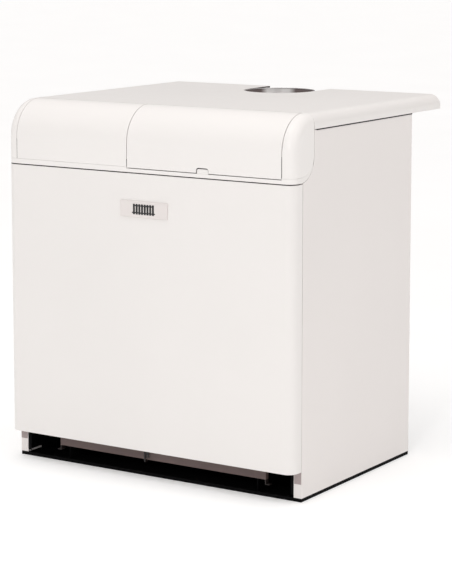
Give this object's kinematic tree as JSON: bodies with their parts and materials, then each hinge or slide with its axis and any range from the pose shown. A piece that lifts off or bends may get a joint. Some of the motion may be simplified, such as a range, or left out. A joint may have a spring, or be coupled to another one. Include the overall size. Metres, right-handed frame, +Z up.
{
  "type": "floor-standing atmospheric gas boiler",
  "caption": "White floor-standing gas boiler: flip-up console door over the controls, lift-off front, cast-iron body, atmospheric burner tray, draught diverter and round flue outlet.",
  "frame": {"origin": "middle of the footprint on the floor, the footprint being that of the whole boiler with its overhanging top", "axes": "+Z up, the front and its badge face -Y, +X is the right-hand side seen from the front"},
  "size_m": [0.804, 0.7, 0.875],
  "materials": {
    "white_paint": "satin",
    "console_white": "satin",
    "black_paint": "satin",
    "galvanised": "satin",
    "grey_sheet": "matte",
    "bright_steel": "polished",
    "stainless": "satin",
    "zinc_steel": "satin",
    "cast_iron": "matte",
    "die_cast": "satin",
    "brass": "satin",
    "ceramic": "gloss",
    "badge_grey": "satin",
    "mineral_wool": "matte",
    "fascia_grey": "matte",
    "black_plastic": "matte",
    "amber_lens": "gloss",
    "dial_white": "matte",
    "clear_lens": "clear",
    "red_lever": "satin"
  },
  "bodies": {
    "boiler": {"base_frame": "black_paint", "side_panel_left": "white_paint", "side_panel_right": "white_paint", "top_cover": "white_paint", "rear_panel": "galvanised", "console_trim": "console_white", "console_end_left": "console_white", "console_end_right": "console_white", "console_cover": "console_white", "door_hinge_rod": "zinc_steel", "control_fascia": "fascia_grey", "safety_cap": "black_plastic", "gauge_housing": "black_plastic", "gauge_dial": "dial_white", "gauge_lens": "clear_lens", "control_box": "galvanised", "mains_gland": "black_plastic", "tie_rod_upper": "zinc_steel", "tie_rod_lower": "zinc_steel", "insulation_left": "mineral_wool", "insulation_right": "mineral_wool", "insulation_front": "mineral_wool", "smoke_hood": "galvanised", "draught_diverter": "galvanised", "flue_collar": "bright_steel", "burner_plate": "galvanised", "gas_manifold": "zinc_steel", "ignition_electrode": "ceramic", "gas_valve": "die_cast", "gas_valve_coil": "black_plastic", "gas_pipe": "zinc_steel", "valve_cable": "black_plastic", "air_baffle_left": "grey_sheet", "air_baffle_right": "grey_sheet", "flow_pipe": "zinc_steel", "return_pipe": "zinc_steel", "drain_cock": "brass", "section_1": "cast_iron", "section_2": "cast_iron", "section_3": "cast_iron", "section_4": "cast_iron", "section_5": "cast_iron", "section_6": "cast_iron", "burner_bar_1": "stainless", "burner_bar_2": "stainless", "burner_bar_3": "stainless", "burner_bar_4": "stainless", "burner_bar_5": "stainless"},
    "front_panel_set": {"front_panel": "white_paint", "badge_plate": "badge_grey", "front_panel_lining": "mineral_wool"},
    "door": {"console_door": "console_white"},
    "thermostat": {"thermostat_knob": "black_plastic"},
    "stage_selector": {"second_stage_knob": "black_plastic"},
    "switch": {"power_switch": "black_plastic"},
    "reset": {"reset_button": "amber_lens"},
    "thermometer_needle": {"temperature_needle": "black_plastic"},
    "manometer_needle": {"pressure_needle": "black_plastic"},
    "drain_handle": {"drain_lever": "red_lever"},
    "sight_shutter": {"peephole_shutter": "zinc_steel"}
  },
  "joints": [
    {"name": "front_panel_lift_off", "type": "slide", "parent": "boiler", "child": "front_panel_set", "axis": [0, -1, 0], "range_m": [0, 0.3]},
    {"name": "door_hinge", "type": "hinge", "parent": "boiler", "child": "door", "pos_m": [0.16, -0.2665, 0.8685], "axis": [-1, 0, 0], "range_deg": [0, 95]},
    {"name": "thermostat_turn", "type": "hinge", "parent": "boiler", "child": "thermostat", "pos_m": [0.144, -0.30877, 0.80315], "axis": [0, -0.9239, 0.3827], "range_deg": [-135, 135]},
    {"name": "stage_selector_turn", "type": "hinge", "parent": "boiler", "child": "stage_selector", "pos_m": [0.202, -0.30877, 0.80315], "axis": [0, -0.9239, 0.3827], "range_deg": [-60, 60]},
    {"name": "switch_rock", "type": "hinge", "parent": "boiler", "child": "switch", "pos_m": [0.09, -0.30877, 0.80315], "axis": [-1, 0, 0], "range_deg": [0, 18]},
    {"name": "reset_press", "type": "slide", "parent": "boiler", "child": "reset", "axis": [0, 0.9239, -0.3827], "range_m": [0, 0.003], "stiffness_N_per_m": 300, "springref_m": -0.001},
    {"name": "thermometer_swing", "type": "hinge", "parent": "boiler", "child": "thermometer_needle", "pos_m": [0.322, -0.3037, 0.80754], "axis": [0, 0.9239, -0.3827], "range_deg": [0, 230]},
    {"name": "manometer_swing", "type": "hinge", "parent": "boiler", "child": "manometer_needle", "pos_m": [0.322, -0.30906, 0.79461], "axis": [0, -0.9239, 0.3827], "range_deg": [0, 230]},
    {"name": "drain_turn", "type": "hinge", "parent": "boiler", "child": "drain_handle", "pos_m": [0.245, 0.2558, 0.0722], "axis": [0, 1, 0], "range_deg": [0, 90]},
    {"name": "shutter_swing", "type": "hinge", "parent": "boiler", "child": "sight_shutter", "pos_m": [0.098, -0.2115, 0.236], "axis": [0, 1, 0], "range_deg": [-60, 60]}
  ]
}
